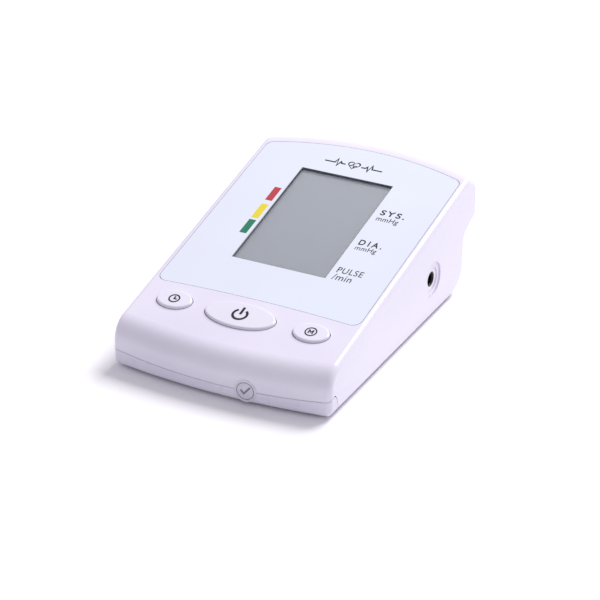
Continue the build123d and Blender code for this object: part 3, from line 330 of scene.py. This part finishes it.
bright_steel = metal("bright_steel", "#C9CBCE", "#9FA2A6", 0.28, (1, 12, 12))
switch_steel = metal("switch_steel", "#B7B9BB", "#8E9093", 0.35, (12, 1, 12))
brass_pin = metal("brass_pin", "#D2B36A", "#A88A48", 0.25, (1, 10, 10))
magnet_dark = metal("magnet_dark", "#4A4A4E", "#2F2F33", 0.55)
board_green = circuit_board("board_green")
chip_black = chip_body("chip_black")
ceramic_tan = moulded_plastic("ceramic_tan", "#B79B73", "#9C8160", 0.5, grain=1.2e-5)
cell_jacket = cell_jackets("cell_jacket")
label_white = foil("label_white", "#DAD9DD", "#CFCED3", 0.45, 0.0)
sticker_silver = foil("sticker_silver", "#DCDAE6", "#CCCAD7", 0.38, 0.1, 4e-6)
dark_ink = ink("dark_ink", "#101015", "#1D1D23")
grey_ink = ink("grey_ink", "#77787F", "#8B8C93")
red_ink = ink("red_ink", "#B2343A", "#BC484C")
yellow_ink = ink("yellow_ink", "#E0CE22", "#E6D84C")
green_ink = ink("green_ink", "#0E7352", "#2A8566")

node_looks = {
    "upper_case": case_white,
    "lower_case": base_white,
    "battery_cover": base_white,
    "faceplate": panel_print,
    "display_lens": lens_clear,
    "display_bezel": dark_plastic,
    "lcd_glass": lcd_grey,
    "start_stop_key": key_white,
    "clock_key": key_white,
    "memory_key": key_white,
    "air_socket": socket_white,
    "power_jack": black_plastic,
    "power_jack_pin": brass_pin,
    "rubber_feet": grey_rubber,
    "rating_label": label_white,
    "inspection_sticker": sticker_silver,
    "zebra_strip": black_rubber,
    "lcd_holder": natural_plastic,
    "main_board": board_green,
    "microcontroller": chip_black,
    "memory_chip": chip_black,
    "voltage_regulator": chip_black,
    "pressure_sensor": natural_plastic,
    "buzzer": black_plastic,
    "board_passives": ceramic_tan,
    "air_manifold": natural_plastic,
    "pump_head": natural_plastic,
    "pump_cover": natural_plastic,
    "pump_cradles": black_rubber,
    "pump_diaphragm": black_rubber,
    "motor_magnets": magnet_dark,
    "motor_end_cap": black_plastic,
    "motor_can": switch_steel,
    "exhaust_valve": switch_steel,
    "valve_plunger": switch_steel,
    "key_switches": black_plastic,
    "aa_batteries": cell_jacket,
}
for node in nodes:
    if node.endswith("_plunger") and "switch" in node:
        node_looks[node] = black_plastic
    if node.endswith("_tube"):
        node_looks[node] = silicone
    if node.endswith("_leads"):
        node_looks[node] = paired_wire(f"{node}_insulation", node)
for node, solid in nodes.items():
    solid.data.materials.clear()
    solid.data.materials.append(node_looks.get(node, bright_steel))


# ---------------------------------------------------------------- flat artwork
INK = 0.03 * MM
CLEAR_OF_FACE = 0.01 * MM


def loop_curve(loops, thickness=INK):
    """A flat curve from closed loops of points in millimetres; a loop inside another cuts a hole."""
    curve = bpy.data.curves.new("outline", "CURVE")
    curve.dimensions = "2D"
    curve.fill_mode = "BOTH"
    curve.extrude = thickness / 2
    for loop in loops:
        spline = curve.splines.new("POLY")
        spline.points.add(len(loop) - 1)
        for point, (x, y) in zip(spline.points, loop):
            point.co = (x * MM, y * MM, 0, 1)
        spline.use_cyclic_u = True
    return curve


def solid_of(curve):
    """The closed mesh of a flat curve or a text, standing on height 0."""
    holder = bpy.data.objects.new("holder", curve)
    scene.collection.objects.link(holder)
    depsgraph = bpy.context.evaluated_depsgraph_get()
    mesh = bpy.data.meshes.new_from_object(holder.evaluated_get(depsgraph))
    bpy.data.objects.remove(holder)
    welded = bmesh.new()
    welded.from_mesh(mesh)
    bmesh.ops.remove_doubles(welded, verts=welded.verts, dist=1e-7)
    bmesh.ops.recalc_face_normals(welded, faces=welded.faces)
    welded.to_mesh(mesh)
    welded.free()
    mesh.transform(Matrix.Translation((0, 0, -min(v.co.z for v in mesh.vertices))))
    return mesh


def piece(name, mesh, body, material):
    """A new piece at its place in the row frame, riding on a CAD body."""
    made = bpy.data.objects.new(name, mesh)
    scene.collection.objects.link(made)
    mesh.materials.clear()
    mesh.materials.append(material)
    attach(made, body)
    return made


def print_on(name, curve, place, material, body="housing"):
    """A flat mark laid on a place's surface."""
    mesh = solid_of(curve)
    mesh.transform(place @ Matrix.Translation((0, 0, CLEAR_OF_FACE)))
    return piece(name, mesh, body, material)


def circle(radius, start=0.0, end=360.0, steps=64):
    """Points of an arc in millimetres and degrees, counted from +X."""
    turns = [radians(start + (end - start) * i / steps) for i in range(steps + (end - start < 360))]
    return [(radius * cos(t), radius * sin(t)) for t in turns]


def ring(radius, width, start=0.0, end=360.0):
    """Loops of a ring, or of a band along an arc, whose outer edge is at radius."""
    outer, inner = circle(radius, start, end), circle(radius - width, start, end)
    return [outer, inner] if end - start >= 360 else [outer + inner[::-1]]


def box_loop(left, low, right, high):
    return [(left, low), (right, low), (right, high), (left, high)]


def ribbon(points, width):
    """The outline of a line of constant width through points, mitred at its corners."""
    sides = [[], []]
    for i, point in enumerate(points):
        before = Vector(point) - Vector(points[i - 1]) if i else None
        after = Vector(points[i + 1]) - Vector(point) if i + 1 < len(points) else None
        first = (before or after).normalized()
        last = (after or before).normalized()
        middle = (first + last).normalized()
        reach = width / 2 / max(middle.dot(last), 0.45)
        for side, sign in zip(sides, (1, -1)):
            side.append((point[0] - sign * middle.y * reach, point[1] + sign * middle.x * reach))
    return sides[0] + sides[1][::-1]


def shifted(place, u, v):
    """A place moved by u and v millimetres along its own surface."""
    return place @ Matrix.Translation((u * MM, v * MM, 0))


def lettering(name, text, place, left, low, width, height, spacing=1.0, bold=0.0):
    """Generic letters fitted into a box whose lower left corner is given, in millimetres."""
    curve = bpy.data.curves.new(name, "FONT")
    curve.body = text
    curve.space_character = spacing
    curve.offset = bold
    curve.resolution_u = 6
    curve.extrude = 0.05
    mesh = solid_of(curve)
    corners = [[v.co[i] for v in mesh.vertices] for i in range(3)]
    lows = [min(c) for c in corners]
    spans = [max(c) - min(c) for c in corners]
    grow = [width * MM / spans[0], height * MM / spans[1], INK / spans[2]]
    mesh.transform(Matrix.Diagonal((*grow, 1)) @ Matrix.Translation([-low_end for low_end in lows]))
    mesh.transform(shifted(place, left, low) @ Matrix.Translation((0, 0, CLEAR_OF_FACE)))
    return piece(name, mesh, "housing", dark_ink)


# colour scale beside the window: high, raised and normal
BAR_MIDDLE = -23.95
BAR_WIDTH = 3.1
for name, low, high, material in (
    ("scale_bar_high", 6.4, 15.6, red_ink),
    ("scale_bar_raised", -5.9, 3.6, yellow_ink),
    ("scale_bar_normal", -16.5, -7.4, green_ink),
):
    bar = box_loop(BAR_MIDDLE - BAR_WIDTH / 2, low, BAR_MIDDLE + BAR_WIDTH / 2, high)
    print_on(name, loop_curve([bar]), WINDOW, material)

# what each row of the display reads, and its unit
lettering("label_systolic", "SYS.", WINDOW, 23.6, 12.5, 10.8, 3.4, 1.3, 0.02)
lettering("label_systolic_unit", "mmHg", WINDOW, 23.6, 7.8, 9.6, 3.7, 1.05)
lettering("label_diastolic", "DIA.", WINDOW, 23.7, -8.1, 10.2, 3.4, 1.5, 0.02)
lettering("label_diastolic_unit", "mmHg", WINDOW, 23.7, -12.2, 9.2, 3.5, 1.05)
lettering("label_pulse", "PULSE", WINDOW, 23.2, -26.9, 11.1, 3.4, 1.1)
lettering("label_pulse_unit", "/min", WINDOW, 23.2, -31.4, 8.2, 3.7, 1.05)

# generic heart and pulse trace above the window
EMBLEM = shifted(WINDOW, -0.85, 39.35)
HEART_SIZE = 0.178


def heart(scale):
    turns = [2 * pi * i / 72 for i in range(72)]
    return [
        (
            16 * sin(t) ** 3 * scale,
            (13 * cos(t) - 5 * cos(2 * t) - 2 * cos(3 * t) - cos(4 * t) + 2.4) * scale,
        )
        for t in turns
    ]


TRACE = 0.7
print_on("emblem_heart", loop_curve([heart(HEART_SIZE), heart(HEART_SIZE * 0.8)]), EMBLEM, dark_ink)
beat = [(-1.7, 0), (-0.8, 0), (-0.3, 1.3), (0.35, -1.3), (0.8, 0), (1.7, 0)]
print_on("emblem_beat", loop_curve([ribbon(beat, TRACE * 0.75)]), EMBLEM, dark_ink)
trace = [(3.6, 0), (5.4, 0), (6.1, 1.1), (7.0, -1.9), (7.9, 2.6), (8.6, 0), (10.2, 0), (13.2, 0)]
for name, side in (("emblem_trace_left", -1), ("emblem_trace_right", 1)):
    points = [(side * x, y) for x, y in trace]
    print_on(name, loop_curve([ribbon(points, TRACE)]), EMBLEM, dark_ink)


# marks on the keys, each riding with its key
KEY_PRINT_LIFT = 0.05


def key_place(node):
    """The panel's axes a little above a key's crown."""
    return panel_frame(node, max(along(node, OUTWARD)) + KEY_PRINT_LIFT * MM)


POWER_RADIUS = 3.4
power_mark = ring(POWER_RADIUS, 1.0, 125, 415) + [box_loop(-0.52, 0.1, 0.52, 4.3)]
clock_mark = ring(2.4, 0.58) + [ribbon([(0, 1.3), (0, -0.2), (1.2, -0.2)], 0.6)]
letter_half = [(1.1, -1.1), (1.1, 1.1), (0.6, 1.1)]
letter_inside = [(0.6, 0.2), (0.6, -1.1)]
letter_m = [(-x, y) for x, y in reversed(letter_inside)] + [(0, -0.75)] + letter_inside
letter_m += letter_half + [(0, 0.1)] + [(-x, y) for x, y in reversed(letter_half)]
memory_mark = ring(2.5, 0.5) + [letter_m]
key_marks = {"start_stop_key": power_mark, "clock_key": clock_mark, "memory_key": memory_mark}
for body, loops in key_marks.items():
    print_on(f"{body}_mark", loop_curve(loops), key_place(body), dark_ink, body)


# ---------------------------------------------------------------- window edge and power inlet
def walled(name, loops, depth, place, material, body="housing"):
    """A wall of that depth in millimetres, hanging below a place's surface."""
    mesh = solid_of(loop_curve(loops, depth * MM))
    mesh.transform(place @ Matrix.Translation((0, 0, -depth * MM)))
    return piece(name, mesh, body, material)


BEZEL_MARGIN = 1.1
EDGE_SHEET = 0.12
WALL_GAP = 0.02


def window_loop(inset):
    """The window's outline, this far inside its edge."""
    reaches = (along("display_bezel", ACROSS), along("display_bezel", UPSLOPE))
    across, up = (max(reach) - min(reach) for reach in reaches)
    half_width = across / MM / 2 - BEZEL_MARGIN - inset
    half_height = up / MM / 2 - BEZEL_MARGIN - inset
    return box_loop(-half_width, -half_height, half_width, half_height)


# A thin dark sheet lining the window's edge walls down to the lens: partly their own dark grey and partly
# painted shade of the wall inside the window.
EDGE_SHEET_DEPTH = (PANEL_TOP - max(along("display_lens", OUTWARD))) / MM - WALL_GAP
walled("window_edge_dark_and_shade", [window_loop(0), window_loop(EDGE_SHEET)], EDGE_SHEET_DEPTH, WINDOW, dark_plastic)

pin_low, pin_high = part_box("power_jack_pin")
jack_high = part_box("power_jack")[1]
INLET_RADIUS = 3.19
INLET_MOUTH = 0.95
SHADE_TUBE_WALL = 0.35
case_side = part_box("upper_case")[1].x
inlet_place = Matrix(
    [
        [0, 0, 1, case_side - INLET_MOUTH * MM],
        [1, 0, 0, (pin_low.y + pin_high.y) / 2],
        [0, 1, 0, (pin_low.z + pin_high.z) / 2],
        [0, 0, 0, 1],
    ]
)
# painted shade: a black tube lines the white case's bore between the dish and the jack, standing for the
# shade deep in the hole
shade_tube_depth = (case_side - jack_high.x) / MM - INLET_MOUTH - WALL_GAP
inlet_shade_tube = [circle(INLET_RADIUS), circle(INLET_RADIUS - SHADE_TUBE_WALL)]
walled("power_inlet_painted_shade", inlet_shade_tube, shade_tube_depth, inlet_place, black_plastic)


# ---------------------------------------------------------------- inspection sticker's mark
RAY_START = 0.05


def wrapped_on_sticker(name, loops, height):
    """A mark printed on the curved sticker: laid on its front surface point by point."""
    sticker = nodes["inspection_sticker"].data
    tree = BVHTree.FromPolygons([v.co for v in sticker.vertices], [p.vertices for p in sticker.polygons])
    low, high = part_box("inspection_sticker")
    middle = (low + high) / 2
    mesh = solid_of(loop_curve(loops))
    for vertex in mesh.vertices:
        x, z = middle.x + vertex.co.x, height + vertex.co.y
        hit = tree.ray_cast(Vector((x, low.y - RAY_START, z)), Vector((0, 1, 0)))[0]
        vertex.co = (x, hit.y - CLEAR_OF_FACE - vertex.co.z, z)
    return piece(name, mesh, "housing", grey_ink)


sticker_low, sticker_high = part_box("inspection_sticker")
sticker_middle = (sticker_low.z + sticker_high.z) / 2
tick = ribbon([(-1.9, 0.3), (-0.6, -1.2), (2.1, 1.9)], 0.75)
wrapped_on_sticker("sticker_tick", [tick], sticker_middle)
wrapped_on_sticker("sticker_ring", ring(3.7, 0.3), sticker_middle)


# ---------------------------------------------------------------- underside
def underside(x, y, z):
    """Axes for marks that are read from below."""
    return Matrix([[1, 0, 0, x], [0, -1, 0, y], [0, 0, -1, z], [0, 0, 0, 1]])


label_low, label_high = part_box("rating_label")
label_size = (label_high - label_low) / MM
LABEL = underside((label_low.x + label_high.x) / 2, (label_low.y + label_high.y) / 2, label_low.z)
half_width, half_height = label_size.x / 2, label_size.y / 2


def label_mark(name, loops, material=grey_ink):
    """A mark on the rating label, in millimetres from its middle."""
    print_on(name, loop_curve(loops), LABEL, material)


border = [
    box_loop(-half_width + inset, -half_height + inset, half_width - inset, half_height - inset)
    for inset in (0.7, 0.95)
]
label_mark("label_border", border)
ROW_SHARES = (0.95, 0.7, 0.85, 0.6, 0.78)
ROW_MARGIN = 2
ROW_HALF = 0.35
FULL_ROW = half_width * 2 - 14
row_step = (half_height * 2 - 2 * ROW_MARGIN) / len(ROW_SHARES)
left = -half_width + 2.5
for row, share in enumerate(ROW_SHARES):
    middle_y = half_height - ROW_MARGIN - row_step * (row + 0.5)
    bar = box_loop(left, middle_y - ROW_HALF, left + FULL_ROW * share, middle_y + ROW_HALF)
    label_mark(f"label_row_{row}", [bar])

# the power inlet's polarity: minus outside, plus at the centre pin
symbol_x = half_width - 6.5
polarity = ring(1.7, 0.35, 200, 520) + [circle(0.6, steps=24)]
polarity = [[(x + symbol_x, y) for x, y in loop] for loop in polarity]
polarity += [box_loop(symbol_x + 2.2, -0.15, symbol_x + 3.2, 0.15)]
label_mark("label_polarity", polarity, dark_ink)

# arrow on the battery cover that shows which way it slides
cover_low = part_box("battery_cover")[0]
ARROW_Y = 0.026
ARROW_RISE = 0.3
arrow = [(-4, 2.5), (4, 2.5), (0, -4)]
mesh = solid_of(loop_curve([arrow], ARROW_RISE * MM))
mesh.transform(underside(0, ARROW_Y, cover_low.z))
piece("battery_cover_arrow", mesh, "battery_cover", base_white)


# ---------------------------------------------------------------- stage, lights and camera
FLOOR_HALF = 4.0
FLOOR_LEVEL = -0.0001


def ground():
    """A plain pale floor, a hair below the feet so that the two surfaces don't share a plane."""
    mesh = bpy.data.meshes.new("floor")
    turns = ((-1, -1), (1, -1), (1, 1), (-1, 1))
    corners = [(x * FLOOR_HALF, y * FLOOR_HALF, FLOOR_LEVEL) for x, y in turns]
    mesh.from_pydata(corners, [], [(0, 1, 2, 3)])
    floor = bpy.data.objects.new("floor", mesh)
    scene.collection.objects.link(floor)
    look = Look("floor_white", Roughness=0.6)
    cloud = look.between(look.noise(3.0, 2.0), 0.3, 0.7)
    look.feed("Base Color", look.blend(cloud, (0.93, 0.925, 0.945), (0.945, 0.94, 0.955)))
    mesh.materials.append(look.material)


def softbox(name, location, aim, width, height, power):
    """A white rectangular lamp turned towards a point."""
    lamp = bpy.data.lights.new(name, "AREA")
    lamp.shape = "RECTANGLE"
    lamp.size = width
    lamp.size_y = height
    lamp.energy = power
    holder = bpy.data.objects.new(name, lamp)
    holder.location = location
    holder.rotation_mode = "QUATERNION"
    holder.rotation_quaternion = (Vector(aim) - Vector(location)).to_track_quat("-Z", "Y")
    scene.collection.objects.link(holder)


ground()
world = bpy.data.worlds.new("studio")
scene.world = world
world.use_nodes = True
background = world.node_tree.nodes["Background"]
background.inputs["Color"].default_value = (0.95, 0.92, 1.0, 1)
background.inputs["Strength"].default_value = 0.58
softbox("key_light", (0.3, 1.1, 1.4), (0, 0, 0.02), 0.9, 0.9, 33)
softbox("side_light", (1.5, 0.2, 0.7), (0, 0, 0.02), 0.9, 0.9, 0.6)
scene.view_settings.view_transform = "Standard"

AZIMUTH = radians(27.313)
ELEVATION = radians(27.588)
DISTANCE = 0.9719
LOOK_AT = Vector((0, -0.0093, 0.01425))
back = Vector((sin(AZIMUTH) * cos(ELEVATION), -cos(AZIMUTH) * cos(ELEVATION), sin(ELEVATION)))
camera = bpy.data.cameras.new("camera")
camera.sensor_width = 36
camera.lens = 145.19
camera.shift_x = 0.01378
camera.shift_y = -0.00758
camera.clip_start = 0.05
camera.clip_end = 20
camera_holder = bpy.data.objects.new("camera", camera)
camera_holder.location = LOOK_AT + back * DISTANCE
camera_holder.rotation_mode = "QUATERNION"
camera_holder.rotation_quaternion = (-back).to_track_quat("-Z", "Y")
scene.collection.objects.link(camera_holder)
scene.camera = camera_holder
